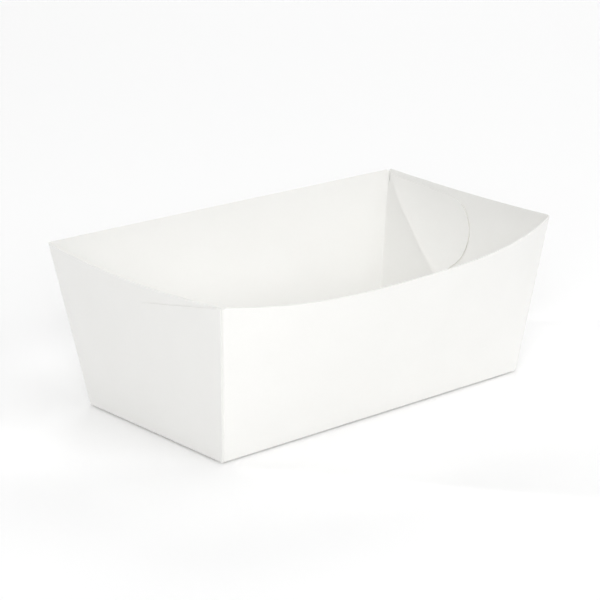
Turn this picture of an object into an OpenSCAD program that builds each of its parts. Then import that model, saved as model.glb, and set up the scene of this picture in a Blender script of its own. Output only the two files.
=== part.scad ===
// Fries tray, folded and glued from one sheet of white paperboard.
// X runs along the tray, Y across it, and the underside of the base lies on Z = 0.

/* [Base] */
// Length of the base over its end folds
base_length = 132; // [115:1:140]
// Width of the base over its long folds
base_width = 69; // [56:1:74]

/* [Rim] */
// Length of the rim from corner to corner
top_length = 149; // [142:1:170]
// Width of the rim from corner to corner at the left end
top_width_left = 88; // [78:0.5:96]
// Width of the rim from corner to corner at the right end
top_width_right = 78.5; // [76:0.5:96]
// Height of the four corners
height = 55; // [48:1:70]
// How far the rim of a long wall bows outwards at its middle
long_bow = 10.9; // [4:0.1:14]
// How far the rim of a long wall dips at its middle
long_dip = 3.9; // [0:0.1:8]
// How flat the middle of that bow and dip is, 2 for an even curve and more for a flatter one
long_flatness = 2.7; // [2:0.1:4]
// How far the rim of an end bows outwards at its middle
end_bow = 1.8; // [1:0.1:6]
// How far the rim of an end dips at its middle
end_dip = 1.4; // [0:0.1:4]

/* [Board] */
// Thickness of the paperboard
board = 0.45; // [0.35:0.05:0.5]
// How far glued layers press into each other
glue_bite = 0.05; // [0.03:0.01:0.08]

/* [Folds] */
// Board that a fold along the base takes up on each side of it
base_fold = 0.9; // [0.8:0.1:1.1]
// Board that a smooth corner fold takes up on each side of its foot
corner_fold_low = 0.9; // [0.8:0.1:1.4]
// The same at the rim, where the fold opens into a round
corner_fold_high = 1.8; // [1.4:0.1:3]
// The same at the foot of a glued corner, where the fold is pressed tight
glued_fold_low = 0.8; // [0.8:0.1:1.2]
// The same at the rim of a glued corner, where the fold springs open
glued_fold_high = 1.3; // [1.2:0.1:2]
// Depth of the nick in the rim where a glued corner is creased
nick_depth = 1.2; // [0.4:0.1:2.5]

/* [Inner glue flaps] */
// How far an inner glue flap reaches along the end from its corner
petal_reach = 40.5; // [30:0.5:44]
// Radius of the round end of an inner glue flap
petal_radius = 13; // [9:0.5:16]
// Height of the middle of that round end
petal_middle = 38.5; // [34:0.5:41]
// How far the top edge of an inner glue flap stays below the rim at its fold
petal_drop = 1.5; // [0.8:0.1:4]

/* [Outer end flaps] */
// Angle between the base and the slanted edge of an end flap
flap_slope = 50.5; // [46:0.5:58]
// How far from the corner of the base that edge starts
flap_inset = 1.3; // [0.4:0.1:3]
// How far the top edge of an end flap starts below the rim at the corner
flap_drop = 0.2; // [0.1:0.1:2]
// Angle at which that edge falls away from the corner
flap_fall = 11; // [6:0.5:14]
// Radius of the free corner of an end flap
flap_round = 11; // [3:0.5:12]

/* [Hidden] */

board_colour = [0.96, 0.96, 0.94];

// Step from the face of one glued layer to the face of the next
layer = board - glue_bite;
// Flat strip beside each base fold, long enough to close the base at the corner folds
foot = max(2 * layer + glued_fold_low, layer + corner_fold_low) - base_fold + glue_bite;
// Share of the wall height that a base fold takes up
fold_share = base_fold / height;
// Lower edge of what stands on the base, as a share of the wall height
stand_share = layer / height;
// Room by which a cutting outline runs past the board that it leaves whole
past = 40;
// Small step for working out directions on a surface
nudge = 0.001;

petal_columns = 8;
fold_columns = 5;
long_columns = 26;
end_columns = 12;
bend_rows = 4;
wall_rows = 5;
arc_facets = 64;

// Corners run front left, front right, back right, back left.
// Side 0 is the front, 1 the right end, 2 the back and 3 the left end.
corner_signs = [[-1, -1], [1, -1], [1, 1], [-1, 1]];
outward = [[0, -1, 0], [1, 0, 0], [0, 1, 0], [-1, 0, 0]];
base_corners = [for (c = corner_signs) [c.x * (base_length / 2 - layer), c.y * base_width / 2, 0]];
top_corners = [
    for (c = corner_signs)
        [c.x * top_length / 2, c.y * (c.x < 0 ? top_width_left : top_width_right) / 2, height]
];

function mix(a, b, share) = a + (b - a) * share;
function unit(v) = v / norm(v);
function hump(s, flatness) = 1 - pow(abs(2 * s - 1), flatness);
function is_long(side) = side % 2 == 0;
function steps(first, last, count) = [for (i = [0 : count]) mix(first, last, i / count)];
function bend(from, corner, to, q) = mix(mix(from, corner, q), mix(corner, to, q), q);

// Point on the outer face of a side, s along it and t up it, both from 0 to 1
function wall_point(side, s, t) =
    let (
        next = (side + 1) % 4,
        bow = is_long(side) ? long_bow : end_bow,
        dip = is_long(side) ? long_dip : end_dip,
        middle = hump(s, is_long(side) ? long_flatness : 2),
        low = mix(base_corners[side], base_corners[next], s),
        high = mix(top_corners[side], top_corners[next], s) + middle * (bow * outward[side] - [0, 0, dip])
    )
    mix(low, high, t);

function side_length(side, t) = norm(wall_point(side, 1, t) - wall_point(side, 0, t));

// Board that a glued corner fold takes up at a height
function glued_fold(t) = mix(glued_fold_low, glued_fold_high, t);

// Board that a smooth corner fold takes up at a height
function corner_fold(t) = mix(corner_fold_low, corner_fold_high, t);

// Inner glue flap of a long wall, u from 0 at its free end to 1 at its fold
function petal_point(side, u, t) =
    let (
        end = (side + 3) % 4,
        away = glued_fold(t) + (1 - u) * petal_reach
    )
    wall_point(end, 1 - away / side_length(end, t), t) - layer * outward[end];

// Fold at the glued corner, from the inner flap to the long wall
function glued_corner_point(side, u, t) =
    let (
        nicked = t * (1 - nick_depth / height * sin(180 * u)),
        long = side_length(side, nicked),
        corner = wall_point(side, layer / long, nicked),
        wall = wall_point(side, (layer + glued_fold(nicked)) / long, nicked)
    )
    bend(petal_point(side, 1, nicked), corner, wall, u);

// Long wall between its two corner folds
function long_point(side, u, t) =
    let (
        long = side_length(side, t),
        start = (layer + glued_fold(t)) / long,
        stop = 1 - corner_fold(t) / long
    )
    wall_point(side, mix(start, stop, u), t);

// Fold at the smooth corner, from the long wall to its end panel
function smooth_corner_point(side, u, t) =
    bend(long_point(side, 1, t), wall_point(side, 1, t), end_point(side, 0, t), u);

// End panel of a long wall, u from its fold to its raw edge at the glued corner
function end_point(side, u, t) =
    let (end = (side + 1) % 4)
    wall_point(end, mix(corner_fold(t) / side_length(end, t), 1, u), t);

// A long wall and all that turns with it: inner flap, fold, wall, fold and end panel,
// each over one unit of u
function strip_point(side, u, t) =
    u < 1 ? petal_point(side, u, t)
    : u < 2 ? glued_corner_point(side, u - 1, t)
    : u < 3 ? long_point(side, u - 2, t)
    : u < 4 ? smooth_corner_point(side, u - 3, t)
    : end_point(side, u - 4, t);

// Long wall with its base fold: v from -2 to -1 is flat, from -1 to 0 the fold, from 0 to 1 the wall
function footed_long_point(side, u, v) =
    let (edge = long_point(side, u, 0))
    footed_point(edge, outward[side], long_point(side, u, mix(fold_share, 1, max(v, 0))), v);

// Outer end flap with its base fold, u along the end and v as on a long wall
function footed_flap_point(end, u, v) =
    let (
        edge = wall_point(end, u, 0) + layer * outward[end],
        wall = wall_point(end, u, mix(fold_share, 1, max(v, 0))) + layer * outward[end]
    )
    footed_point(edge, outward[end], wall, v);

function footed_point(edge, out, wall, v) =
    let (flat = edge - base_fold * out)
    v >= 0 ? wall
    : v >= -1 ? bend(flat, edge, wall, v + 1)
    : flat + (v + 1) * foot * out;

// Unit direction out of a surface, from its neighbours along and up
function out_of(left, right, below, above) = unit(cross(right - left, above - below));

function strip_out(side, u, t) =
    out_of(
        strip_point(side, u - nudge, t), strip_point(side, u + nudge, t),
        strip_point(side, u, t - nudge), strip_point(side, u, t + nudge)
    );

function footed_long_out(side, u, v) =
    v >= 0 ? strip_out(side, u + 2, mix(fold_share, 1, v))
    : out_of(
        footed_long_point(side, u - nudge, v), footed_long_point(side, u + nudge, v),
        footed_long_point(side, u, v - nudge), footed_long_point(side, u, v + nudge)
    );

function footed_flap_out(end, u, v) =
    out_of(
        footed_flap_point(end, u - nudge, v), footed_flap_point(end, u + nudge, v),
        footed_flap_point(end, u, v - nudge), footed_flap_point(end, u, v + nudge)
    );

function cell(a, b, c, d) = [[a, b, c], [a, c, d]];

// Solid of the board's thickness behind a grid of outer points.
// outs holds the direction out of the board at each point.
module sheet(points, outs) {
    rows = len(points);
    cols = len(points[0]);
    count = rows * cols;
    inner = [for (r = [0 : rows - 1], c = [0 : cols - 1]) points[r][c] - board * outs[r][c]];
    outer_cells = [
        for (r = [0 : rows - 2], c = [0 : cols - 2])
            let (a = r * cols + c)
            each cell(a, a + cols, a + cols + 1, a + 1)
    ];
    inner_cells = [
        for (r = [0 : rows - 2], c = [0 : cols - 2])
            let (a = count + r * cols + c)
            each cell(a, a + 1, a + cols + 1, a + cols)
    ];
    low_and_high = [
        for (c = [0 : cols - 2])
            let (top = count - cols + c)
            each concat(cell(count + c, c, c + 1, count + c + 1), cell(top, count + top, count + top + 1, top + 1))
    ];
    start_and_stop = [
        for (r = [0 : rows - 2])
            let (a = r * cols, b = a + cols - 1)
            each concat(cell(count + a, count + a + cols, a + cols, a), cell(count + b, b, b + cols, count + b + cols))
    ];
    polyhedron(
        points = concat([for (row = points) each row], inner),
        faces = concat(outer_cells, inner_cells, low_and_high, start_and_stop)
    );
}

// Part of a strip that stands on the base without a fold
module standing_sheet(side, columns) {
    rows = concat([stand_share], steps(fold_share, 1, wall_rows));
    sheet(
        [for (t = rows) [for (u = columns) strip_point(side, u, t)]],
        [for (t = rows) [for (u = columns) strip_out(side, u, t)]]
    );
}

footed_rows = concat([-2], steps(-1, 0, bend_rows), [for (i = [1 : wall_rows]) i / wall_rows]);

module base_panel() {
    cube_size = [base_length - 2 * base_fold, base_width - 2 * base_fold, board];
    translate([0, 0, board / 2])
        cube(cube_size, center = true);
}

module long_wall(side) {
    columns = steps(0, 1, long_columns);
    sheet(
        [for (v = footed_rows) [for (u = columns) footed_long_point(side, u, v)]],
        [for (v = footed_rows) [for (u = columns) footed_long_out(side, u, v)]]
    );
}

module end_panel(side) {
    standing_sheet(side, concat(steps(3, 4, fold_columns), [for (i = [1 : end_columns]) 4 + i / end_columns]));
}

// Runs an outline, drawn across and up, along X through the right end of the tray
module through_end() {
    rotate([90, 0, 90])
        linear_extrude(height = top_length)
            children();
}

// Outline of the inner glue flap at the back right corner, for an end of this width.
// The fold at the corner keeps its whole height.
module petal_outline(top_width) {
    middle_across = mix(base_width, top_width, petal_middle / height) / 2 - petal_reach + petal_radius;
    hull() {
        translate([middle_across, petal_middle])
            circle(r = petal_radius, $fn = arc_facets);
        polygon([
            [base_width / 2, 0],
            [top_width / 2 + past, 0],
            [top_width / 2 + past, height - petal_drop],
            [top_width / 2, height - petal_drop]
        ]);
    }
    polygon([
        [base_width / 2 - glued_fold_low - glue_bite, 0],
        [top_width / 2 + past, 0],
        [top_width / 2 + past, height + past],
        [top_width / 2 - glued_fold_high - glue_bite, height + past],
        [top_width / 2 - glued_fold_high - glue_bite, height]
    ]);
}

// Inner glue flap and the fold that joins it to its long wall
module inner_flap(side) {
    fold_steps = [for (i = [1 : fold_columns]) 1 + i / fold_columns];
    intersection() {
        standing_sheet(side, concat(steps(0, 1, petal_columns), fold_steps));
        rotate([0, 0, side == 0 ? 180 : 0])
            through_end()
                petal_outline(side == 0 ? top_width_left : top_width_right);
    }
}

// Outline of the outer flap on the right end, for an end of this width
module flap_outline(top_width) {
    rise = tan(flap_slope);
    fall = tan(flap_fall);
    start = height - flap_drop;
    tip = -base_width / 2 + flap_inset;
    meet = (start - board - fall * top_width / 2 + rise * tip) / (rise - fall);
    offset(r = flap_round, $fn = arc_facets)
        offset(delta = -flap_round)
            polygon([
                [-base_width / 2 - past, -past],
                [top_width / 2 + past, -past],
                [top_width / 2 + past, start + fall * past],
                [meet, board + rise * (meet - tip)],
                [tip, board],
                [-base_width / 2 - past, board]
            ]);
}

module outer_flap(end) {
    columns = steps(0, 1, end_columns);
    intersection() {
        sheet(
            [for (v = footed_rows) [for (u = columns) footed_flap_point(end, u, v)]],
            [for (v = footed_rows) [for (u = columns) footed_flap_out(end, u, v)]]
        );
        rotate([0, 0, end == 3 ? 180 : 0])
            through_end()
                flap_outline(end == 3 ? top_width_left : top_width_right);
    }
}

// The folded sheet, glued at both ends
module tray() {
    color(board_colour)
        union() {
            base_panel();
            for (side = [0, 2]) {
                inner_flap(side);
                long_wall(side);
                end_panel(side);
            }
            outer_flap(1);
            outer_flap(3);
        }
}

tray();
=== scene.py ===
"""Fries tray, folded and glued from one sheet of white paperboard, on a white studio floor.

X runs along the tray, Y across it, and the base lies on Z = 0. All sizes are in metres.
"""

import math

import bmesh
import bpy
from mathutils import Matrix, Vector


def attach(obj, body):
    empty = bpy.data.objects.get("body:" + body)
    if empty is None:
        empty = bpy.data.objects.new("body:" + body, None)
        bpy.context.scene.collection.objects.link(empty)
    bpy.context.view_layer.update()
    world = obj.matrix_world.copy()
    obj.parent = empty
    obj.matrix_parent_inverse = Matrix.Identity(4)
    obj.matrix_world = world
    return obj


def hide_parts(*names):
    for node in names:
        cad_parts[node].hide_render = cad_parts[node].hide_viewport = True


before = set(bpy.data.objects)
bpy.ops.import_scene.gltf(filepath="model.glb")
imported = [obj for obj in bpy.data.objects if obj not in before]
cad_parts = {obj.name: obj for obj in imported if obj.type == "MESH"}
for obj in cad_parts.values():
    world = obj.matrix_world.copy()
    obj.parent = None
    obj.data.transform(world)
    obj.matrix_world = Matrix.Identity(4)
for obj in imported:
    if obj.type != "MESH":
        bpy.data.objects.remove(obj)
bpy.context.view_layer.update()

# Base
BASE_LENGTH = 0.132
BASE_WIDTH = 0.069

# Rim
TOP_LENGTH = 0.149
TOP_WIDTH_LEFT = 0.088
TOP_WIDTH_RIGHT = 0.0785
HEIGHT = 0.055
LONG_BOW = 0.0109
LONG_DIP = 0.0039
LONG_FLATNESS = 2.7
END_BOW = 0.0018
END_DIP = 0.0014
END_FLATNESS = 2

# Board, and how its glued layers lie: the inner flaps spring open and the outer ones are pressed on
BOARD = 0.00045
LAYER = 0.0004
PETAL_LIFT = 0.0002
FLAP_PRESSED = 0.0002

# Folds
BASE_FOLD = 0.00058
KNEE = 0.0006
GLUED_FOLD_LOW = 0.0003
GLUED_FOLD_HIGH = 0.0011
CORNER_FOLD_LOW = 0.0009
CORNER_FOLD_HIGH = 0.0018
NICK_DEPTH = 0.0005
FOLD_SEGMENTS = 6

# Inner glue flaps, called petals: cut from a strip that is longer by the spare
PETAL_REACH = 0.0405
PETAL_RADIUS = 0.013
PETAL_MIDDLE = 0.0385
PETAL_DROP = 0.0015
PETAL_SPARE = 0.001
# Height below which the petals' cut edges are painted darker, as painted shade where they face down
PAINTED_SHADE_EDGE_TOP = PETAL_MIDDLE + 0.7 * PETAL_RADIUS

# Outer end flaps
FLAP_SLOPE = math.radians(50.5)
FLAP_INSET = 0.0013
FLAP_DROP = 0.0002
FLAP_FALL = math.radians(11)
FLAP_ROUND = 0.011

# Material slot of the petals' lower parts, whose cut edges wear painted shade. Solidify puts each cut edge
# one slot further than its face
PETAL_SLOT = 2
EDGE_SLOT_STEP = 1

# Columns and rows that the board is divided into, and cuts that make a flap's round
PETAL_COLUMNS = 14
LONG_COLUMNS = 52
END_COLUMNS = 26
WALL_ROWS = 14
PETAL_CUTS = 26
FLAP_CUTS = 8

# How close two places are taken for one, at a corner, along the folds' knees and on the floor
AT_CORNER = 0.00001
AT_KNEE = 0.00008
AT_FLOOR = 0.000001

# Camera
CAMERA_AZIMUTH = math.radians(-41.667)
CAMERA_ELEVATION = math.radians(18.193)
CAMERA_ROLL = math.radians(0.503)
CAMERA_DISTANCE = 0.82789
CAMERA_ASIDE = -0.00274
CAMERA_RAISE = 0.02919
CAMERA_LENS = 147.458
CAMERA_SENSOR = 36

# Floor and lights
FLOOR_SIZE = 12
FLOOR_GAP = 0.0005
FLOOR_GLOW = 0.03
SURROUND = 0.09
TRAY_MIDDLE = (0, 0, 0.03)

# Sides and corners run round the tray, each side from its own corner to the next
FRONT, RIGHT, BACK, LEFT = range(4)
OUTWARD = [Vector((0, -1, 0)), Vector((1, 0, 0)), Vector((0, 1, 0)), Vector((-1, 0, 0))]
CORNER_SIGNS = [(-1, -1), (1, -1), (1, 1), (-1, 1)]
UP = Vector((0, 0, 1))


def base_corner(number):
    x, y = CORNER_SIGNS[number % 4]
    return Vector((x * (BASE_LENGTH / 2 - LAYER), y * BASE_WIDTH / 2, 0))


def rim_corner(number):
    x, y = CORNER_SIGNS[number % 4]
    width = TOP_WIDTH_LEFT if x < 0 else TOP_WIDTH_RIGHT
    return Vector((x * TOP_LENGTH / 2, y * width / 2, HEIGHT))


def wall_point(side, along, up):
    """Point on the outer face of a side, along it and up it, both from 0 to 1."""
    if side in (FRONT, BACK):
        bow, dip, flatness = LONG_BOW, LONG_DIP, LONG_FLATNESS
    else:
        bow, dip, flatness = END_BOW, END_DIP, END_FLATNESS
    hump = 1 - abs(2 * along - 1) ** flatness
    foot = base_corner(side).lerp(base_corner(side + 1), along)
    rim = rim_corner(side).lerp(rim_corner(side + 1), along) + hump * (bow * OUTWARD[side] - dip * UP)
    return foot.lerp(rim, up)


def side_length(side, up):
    return (wall_point(side, 1, up) - wall_point(side, 0, up)).length


def mix(first, last, share):
    return first + (last - first) * share


def glued_fold(up):
    return mix(GLUED_FOLD_LOW, GLUED_FOLD_HIGH, up)


def petal_depth(up):
    """How far inside the end panel's face a petal lies: pressed tight below, sprung open above."""
    return LAYER + PETAL_LIFT * up


def corner_across(end, height):
    """Half the width of an end at a height."""
    return abs(wall_point(end, 1, height / HEIGHT).y)


def station(place):
    """Foot and rim of one column of the board, from a rule that gives its place at a height."""
    return place(KNEE / HEIGHT), place(1)


def petal_station(end, away):
    def place(up):
        panel = wall_point(end, 1 - away / side_length(end, up), up)
        return panel - petal_depth(up) * OUTWARD[end]

    return station(place)


def wall_station(wall, share):
    return station(lambda up: wall_point(wall, mix(petal_depth(up) / side_length(wall, up), 1, share), up))


def end_station(end, share):
    return station(lambda up: wall_point(end, share, up))


def flap_station(end, share):
    return station(lambda up: wall_point(end, share, up) + mix(LAYER, FLAP_PRESSED, up) * OUTWARD[end])


def pick_vertices(test):
    """Selects the vertices of the mesh being edited that stand where the test says."""
    bpy.ops.mesh.select_mode(type="VERT")
    bpy.ops.mesh.select_all(action="DESELECT")
    mesh = bmesh.from_edit_mesh(bpy.context.edit_object.data)
    for vertex in mesh.verts:
        vertex.select_set(test(vertex.co))
    bmesh.update_edit_mesh(bpy.context.edit_object.data)


def pick_edges(test):
    """Selects the edges whose two ends pass the test together."""
    bpy.ops.mesh.select_mode(type="EDGE")
    bpy.ops.mesh.select_all(action="DESELECT")
    mesh = bmesh.from_edit_mesh(bpy.context.edit_object.data)
    for edge in mesh.edges:
        if test(edge.verts[0].co, edge.verts[1].co):
            edge.select_set(True)
    bmesh.update_edit_mesh(bpy.context.edit_object.data)


def pick_faces(test):
    """Selects the faces whose middle passes the test."""
    bpy.ops.mesh.select_mode(type="FACE")
    bpy.ops.mesh.select_all(action="DESELECT")
    mesh = bmesh.from_edit_mesh(bpy.context.edit_object.data)
    for face in mesh.faces:
        if test(face.calc_center_median()):
            face.select_set(True)
    bmesh.update_edit_mesh(bpy.context.edit_object.data)


def move_vertex(number, place):
    bpy.ops.mesh.select_mode(type="VERT")
    bpy.ops.mesh.select_all(action="DESELECT")
    mesh = bmesh.from_edit_mesh(bpy.context.edit_object.data)
    mesh.verts.ensure_lookup_table()
    vertex = mesh.verts[number]
    vertex.select_set(True)
    bpy.ops.transform.translate(value=place - vertex.co)


def stand_up(name, stations, finishes):
    """A flat grid one row high, stood up so that its columns are at the stations."""
    bpy.ops.object.select_all(action="DESELECT")
    bpy.ops.mesh.primitive_grid_add(x_subdivisions=len(stations) - 1, y_subdivisions=1, size=1)
    sheet = bpy.context.active_object
    sheet.name = name
    for finish in finishes:
        sheet.data.materials.append(finish)
    bpy.ops.object.mode_set(mode="EDIT")
    for column, (foot, rim) in enumerate(stations):
        move_vertex(column, foot)
        move_vertex(len(stations) + column, rim)
    return sheet


def is_column(a, b):
    return abs(a.z - b.z) > HEIGHT / 2


def near(a, b, reach=AT_CORNER):
    return (a - b).length < reach


def divide_into_rows():
    pick_edges(is_column)
    bpy.ops.mesh.subdivide(number_cuts=WALL_ROWS - 1)


def cut_round(pick, end, centre, radius, first, last, cuts):
    """Cuts a flap along a round and its two tangents.
    The centre is across and up the end, and the angles are those of the tangents' outward directions."""
    turn = 1 if end == RIGHT else -1
    for cut in range(cuts + 1):
        angle = mix(first, last, cut / cuts)
        across, up = math.cos(angle), math.sin(angle)
        pick()
        bpy.ops.mesh.bisect(
            plane_co=(0, turn * (centre[0] + radius * across), centre[1] + radius * up),
            plane_no=(0, turn * across, up),
            clear_outer=True,
        )


def is_petal(end, p):
    """True for a petal's flat part while its strip is being made."""
    return (
        p.x * OUTWARD[end].x > BASE_LENGTH / 2 - LAYER * 3
        and abs(p.y) < corner_across(end, p.z) - glued_fold(p.z / HEIGHT) * 1.05
    )


def tangent_angle(to_centre, radius, turn):
    """Outward direction of the tangent to a round, from a point outside it."""
    lean = math.atan2(to_centre.y, to_centre.x) % (2 * math.pi)
    return lean + turn * math.acos(-radius / to_centre.length)


def cut_petal(end):
    """Gives a petal its round end, from its level top edge to its slanted lower one."""
    centre = Vector((corner_across(end, PETAL_MIDDLE) - PETAL_REACH + PETAL_RADIUS, PETAL_MIDDLE))
    high, low = Vector((corner_across(end, HEIGHT), HEIGHT - PETAL_DROP)), Vector((BASE_WIDTH / 2, 0))
    first = tangent_angle(centre - high, PETAL_RADIUS, -1)
    last = tangent_angle(centre - low, PETAL_RADIUS, 1)

    def pick():
        pick_faces(lambda p: is_petal(end, p))

    cut_round(pick, end, centre, PETAL_RADIUS, first, last, PETAL_CUTS)


def cut_flap(end):
    """Cuts the outer end flap along its falling top edge, its round corner and its slanted edge."""
    top_width = TOP_WIDTH_RIGHT if end == RIGHT else TOP_WIDTH_LEFT
    first = math.radians(90) + FLAP_FALL
    last = math.radians(90) + FLAP_SLOPE
    top_out = Vector((math.cos(first), math.sin(first)))
    slant_out = Vector((math.cos(last), math.sin(last)))
    top_reach = top_out.dot(Vector((top_width / 2, HEIGHT - FLAP_DROP))) - FLAP_ROUND
    slant_reach = slant_out.dot(Vector((FLAP_INSET - BASE_WIDTH / 2, BOARD))) - FLAP_ROUND
    centre = Matrix((top_out, slant_out)).inverted() @ Vector((top_reach, slant_reach))

    def pick():
        pick_faces(lambda p: True)

    cut_round(pick, end, centre, FLAP_ROUND, first, last, FLAP_CUTS)


def nick_rim(wall):
    """Lowers the rim where the glued corner is creased, most of all on the crease."""
    corner = station(lambda up: wall_point(wall, petal_depth(up) / side_length(wall, up), up))[1]
    mesh = bmesh.from_edit_mesh(bpy.context.edit_object.data)
    fold = [v.index for v in mesh.verts if (v.co - corner).length < GLUED_FOLD_HIGH * 0.97]
    for number in fold:
        mesh = bmesh.from_edit_mesh(bpy.context.edit_object.data)
        mesh.verts.ensure_lookup_table()
        place = mesh.verts[number].co.copy()
        depth = NICK_DEPTH * (1 - (place - corner).length / GLUED_FOLD_HIGH) / 0.6
        move_vertex(number, place - depth * UP)


def fold_round(corner, low, high):
    """Rounds the fold along a corner, tight at its foot and open at its rim."""
    foot, rim = corner

    def runs_up_corner(a, b):
        return (near(a, foot) or near(b, foot)) and (near(a, rim) or near(b, rim))

    pick_edges(runs_up_corner)
    bpy.ops.mesh.bevel(offset_type="OFFSET", offset=high, segments=FOLD_SEGMENTS, affect="EDGES")
    pick_vertices(lambda p: near(p, foot, high * 1.1))
    bpy.ops.transform.resize(value=(low / high, low / high, 1), center_override=foot)


def face_with(slot):
    """Gives the picked faces of the mesh being edited the finish of a slot."""
    bpy.context.edit_object.active_material_index = slot
    bpy.ops.object.material_slot_assign()


def long_strip(wall, finishes):
    """A long wall with its end panel on one side and its petal on the other."""
    glued_end, smooth_end = (wall + 3) % 4, (wall + 1) % 4
    reach = PETAL_REACH + PETAL_SPARE
    stations = [petal_station(glued_end, reach * (1 - c / PETAL_COLUMNS)) for c in range(PETAL_COLUMNS)]
    stations += [wall_station(wall, c / LONG_COLUMNS) for c in range(LONG_COLUMNS + 1)]
    stations += [end_station(smooth_end, c / END_COLUMNS) for c in range(1, END_COLUMNS + 1)]
    strip = stand_up("long_strip", stations, finishes)
    fold_round(stations[PETAL_COLUMNS], GLUED_FOLD_LOW, GLUED_FOLD_HIGH)
    fold_round(stations[PETAL_COLUMNS + LONG_COLUMNS], CORNER_FOLD_LOW, CORNER_FOLD_HIGH)
    nick_rim(wall)
    divide_into_rows()
    cut_petal(glued_end)
    # The petal's lower part gets a slot of its own, so that its cut edge wears the painted shade
    pick_faces(lambda p: is_petal(glued_end, p) and p.z < PAINTED_SHADE_EDGE_TOP)
    face_with(PETAL_SLOT)
    bpy.ops.object.mode_set(mode="OBJECT")
    return strip


def outer_flap(end, finishes):
    stations = [flap_station(end, c / END_COLUMNS) for c in range(END_COLUMNS + 1)]
    flap = stand_up("outer_flap", stations, finishes)
    divide_into_rows()
    cut_flap(end)
    bpy.ops.object.mode_set(mode="OBJECT")
    return flap


def at_knee(point):
    return abs(point.z - KNEE) < AT_KNEE


def on_floor(point):
    return abs(point.z) < AT_FLOOR


def is_wall_foot(a, b):
    """True for the long walls' feet, which run straight along the tray."""
    return at_knee(a) and at_knee(b) and abs(a.y - b.y) < 0.02 * abs(a.x - b.x)


def turn_under(test, pivot, flatten):
    """Carries the feet that pass the test down to the floor, onto the line that they fold along."""
    pick_edges(test)
    bpy.ops.mesh.extrude_region_move(TRANSFORM_OT_translate={"value": (0, 0, -KNEE)})
    bpy.ops.transform.resize(value=flatten, center_override=pivot)


def folded_board(finishes):
    """The whole sheet, still without thickness: strips, flaps and base joined by their folds."""
    pieces = [long_strip(wall, finishes) for wall in (FRONT, BACK)]
    pieces += [outer_flap(end, finishes) for end in (LEFT, RIGHT)]
    bpy.ops.object.select_all(action="DESELECT")
    for piece in pieces:
        piece.select_set(True)
    sheet = pieces[0]
    bpy.context.view_layer.objects.active = sheet
    bpy.ops.object.join()
    sheet.name = "folded_board"
    bpy.ops.object.mode_set(mode="EDIT")

    half_length, half_width = BASE_LENGTH / 2, BASE_WIDTH / 2
    for sign in (-1, 1):
        turn_under(
            lambda a, b: is_wall_foot(a, b) and a.y * sign > 0,
            (0, sign * half_width, 0),
            (1, 0, 0),
        )
    pick_edges(lambda a, b: on_floor(a) and on_floor(b))
    bpy.ops.mesh.bridge_edge_loops(number_cuts=END_COLUMNS - 1, interpolation="LINEAR")
    pick_edges(lambda a, b: on_floor(a) and on_floor(b) and abs(a.y + b.y) > 2 * half_width - AT_CORNER)
    bpy.ops.mesh.bevel(offset_type="OFFSET", offset=BASE_FOLD, segments=FOLD_SEGMENTS, affect="EDGES")

    for sign in (-1, 1):
        turn_under(
            lambda a, b: at_knee(a) and at_knee(b) and min(a.x * sign, b.x * sign) > half_length,
            (sign * half_length, 0, 0),
            (0, 1, 0),
        )
        pick_edges(
            lambda a, b: on_floor(a)
            and on_floor(b)
            and min(a.x * sign, b.x * sign) > half_length - 0.0025
            and abs(a.x - b.x) < 0.0003
        )
        bpy.ops.mesh.bridge_edge_loops()
        pick_edges(
            lambda a, b: on_floor(a) and on_floor(b) and min(a.x * sign, b.x * sign) > half_length - AT_CORNER
        )
        bpy.ops.mesh.bevel(offset_type="OFFSET", offset=BASE_FOLD, segments=FOLD_SEGMENTS, affect="EDGES")

    bpy.ops.mesh.select_all(action="SELECT")
    bpy.ops.mesh.remove_doubles(threshold=AT_FLOOR)
    bpy.ops.mesh.normals_make_consistent(inside=False)
    bpy.ops.object.mode_set(mode="OBJECT")
    return sheet


def thicken(sheet):
    """Gives the sheet the board's thickness towards the inside, and its cut edges their own finish."""
    solid = sheet.modifiers.new("board", "SOLIDIFY")
    solid.thickness = BOARD
    solid.offset = -1
    solid.use_even_offset = True
    solid.use_quality_normals = True
    solid.material_offset_rim = EDGE_SLOT_STEP
    bpy.ops.object.modifier_apply(modifier=solid.name)
    bpy.ops.object.shade_smooth_by_angle(angle=math.radians(40))


def noise(nodes, links, scale, detail):
    coordinates = nodes.new("ShaderNodeTexCoord")
    texture = nodes.new("ShaderNodeTexNoise")
    texture.inputs["Scale"].default_value = scale
    texture.inputs["Detail"].default_value = detail
    links.new(coordinates.outputs["Object"], texture.inputs["Vector"])
    return texture.outputs["Fac"]


def board_material(name, dark, light, roughness, mottle_scale, grain_scale, grain_depth):
    """Board whose colour wavers between two near shades, in soft patches and a fine raised grain."""
    material = bpy.data.materials.new(name)
    material.use_nodes = True
    nodes, links = material.node_tree.nodes, material.node_tree.links
    shader = nodes["Principled BSDF"]
    shader.inputs["Roughness"].default_value = roughness

    grain = noise(nodes, links, grain_scale, 3)
    both = nodes.new("ShaderNodeMix")
    both.inputs["Factor"].default_value = 0.5
    links.new(noise(nodes, links, mottle_scale, 2), both.inputs["A"])
    links.new(grain, both.inputs["B"])
    colours = nodes.new("ShaderNodeValToRGB")
    colours.color_ramp.elements[0].position = 0.35
    colours.color_ramp.elements[0].color = (*dark, 1)
    colours.color_ramp.elements[1].position = 0.65
    colours.color_ramp.elements[1].color = (*light, 1)
    links.new(both.outputs["Result"], colours.inputs["Fac"])
    links.new(colours.outputs["Color"], shader.inputs["Base Color"])

    bump = nodes.new("ShaderNodeBump")
    bump.inputs["Strength"].default_value = 0.2
    bump.inputs["Distance"].default_value = grain_depth
    links.new(grain, bump.inputs["Height"])
    links.new(bump.outputs["Normal"], shader.inputs["Normal"])
    return material


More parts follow.
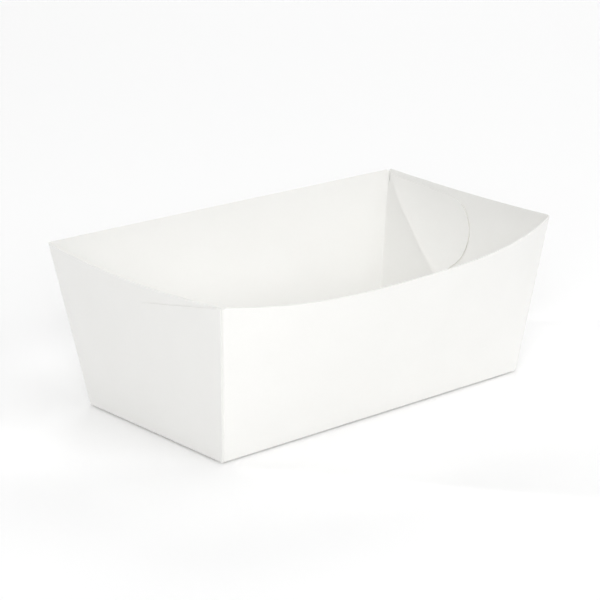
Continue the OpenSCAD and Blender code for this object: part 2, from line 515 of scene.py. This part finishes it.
def add_floor():
    bpy.ops.object.select_all(action="DESELECT")
    bpy.ops.mesh.primitive_plane_add(size=FLOOR_SIZE, location=(0, 0, -FLOOR_GAP))
    floor = bpy.context.active_object
    floor.name = "studio_floor"
    material = bpy.data.materials.new("white_sweep")
    material.use_nodes = True
    shader = material.node_tree.nodes["Principled BSDF"]
    shader.inputs["Base Color"].default_value = (0.97, 0.97, 0.97, 1)
    shader.inputs["Roughness"].default_value = 0.9
    shader.inputs["Emission Color"].default_value = (1, 1, 1, 1)
    shader.inputs["Emission Strength"].default_value = FLOOR_GLOW
    floor.data.materials.append(material)


def add_camera():
    azimuth, elevation = CAMERA_AZIMUTH, CAMERA_ELEVATION
    level = math.cos(elevation)
    back = Vector((math.sin(azimuth) * level, -math.cos(azimuth) * level, math.sin(elevation)))
    right = Vector((math.cos(azimuth), math.sin(azimuth), 0))
    up = back.cross(right)
    place = back * CAMERA_DISTANCE + right * CAMERA_ASIDE + up * CAMERA_RAISE
    axes = (
        math.cos(CAMERA_ROLL) * right + math.sin(CAMERA_ROLL) * up,
        math.cos(CAMERA_ROLL) * up - math.sin(CAMERA_ROLL) * right,
        back,
    )
    bpy.ops.object.camera_add(location=place, rotation=Matrix(axes).transposed().to_euler())
    camera = bpy.context.active_object
    camera.data.sensor_width = CAMERA_SENSOR
    camera.data.lens = CAMERA_LENS
    camera.data.clip_start = 0.01
    bpy.context.scene.camera = camera


def add_softbox(name, place, aim, size, watts):
    turn = (Vector(aim) - Vector(place)).to_track_quat("-Z", "Y")
    bpy.ops.object.light_add(type="AREA", location=place, rotation=turn.to_euler())
    light = bpy.context.active_object
    light.name = name
    light.data.shape = "SQUARE"
    light.data.size = size
    light.data.energy = watts


def add_lights():
    world = bpy.data.worlds.new("studio")
    bpy.context.scene.world = world
    world.use_nodes = True
    background = world.node_tree.nodes["Background"]
    background.inputs["Color"].default_value = (1, 1, 1, 1)
    background.inputs["Strength"].default_value = SURROUND
    add_softbox("overhead", (0, 0, 1.6), (0, 0, 0), 1.6, 10.5)
    add_softbox("front_softbox", (0.3, -1.5, 0.9), TRAY_MIDDLE, 0.9, 7)
    add_softbox("front_left_softbox", (-1.2, -1.2, 0.9), TRAY_MIDDLE, 0.9, 16.8)
    add_softbox("right_softbox", (1.6, -0.3, 0.9), TRAY_MIDDLE, 0.9, 5.2)
    add_softbox("back_softbox", (0.3, 1.5, 1.0), TRAY_MIDDLE, 0.9, 2.4)
    add_softbox("back_right_softbox", (1.2, 1.2, 1.0), TRAY_MIDDLE, 0.9, 8.6)
    add_softbox("low_front_softbox", (0.6, -1.6, 0.35), TRAY_MIDDLE, 0.6, 1.6)
    add_softbox("back_left_spot", (-1.4, 1.4, 1.0), TRAY_MIDDLE, 0.03, 7.5)


add_camera()
add_lights()
bpy.context.scene.view_settings.view_transform = "Standard"
add_floor()

# The petals' lower parts wear the same coating in a slot of their own, so that the cut edge there is painted
# darker: painted shade where the edge faces down and painted shadow under the lifted petal
coating = ((0.870, 0.867, 0.846), (0.884, 0.881, 0.861), 0.5, 70, 1500, 0.00002)
finishes = [
    board_material("coated_board", *coating),
    board_material("cut_edge", (0.840, 0.836, 0.815), (0.860, 0.856, 0.835), 0.8, 200, 1500, 0.00001),
    board_material("coated_flap", *coating),
    # Cut edge painted darker: painted shade and painted shadow along the petals' lower edges
    board_material("painted_shade_cut_edge", (0.75, 0.735, 0.70), (0.79, 0.775, 0.74), 0.9, 200, 1500, 0.00001),
]

tray = folded_board(finishes)
thicken(tray)

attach(tray, "root")
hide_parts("tray")
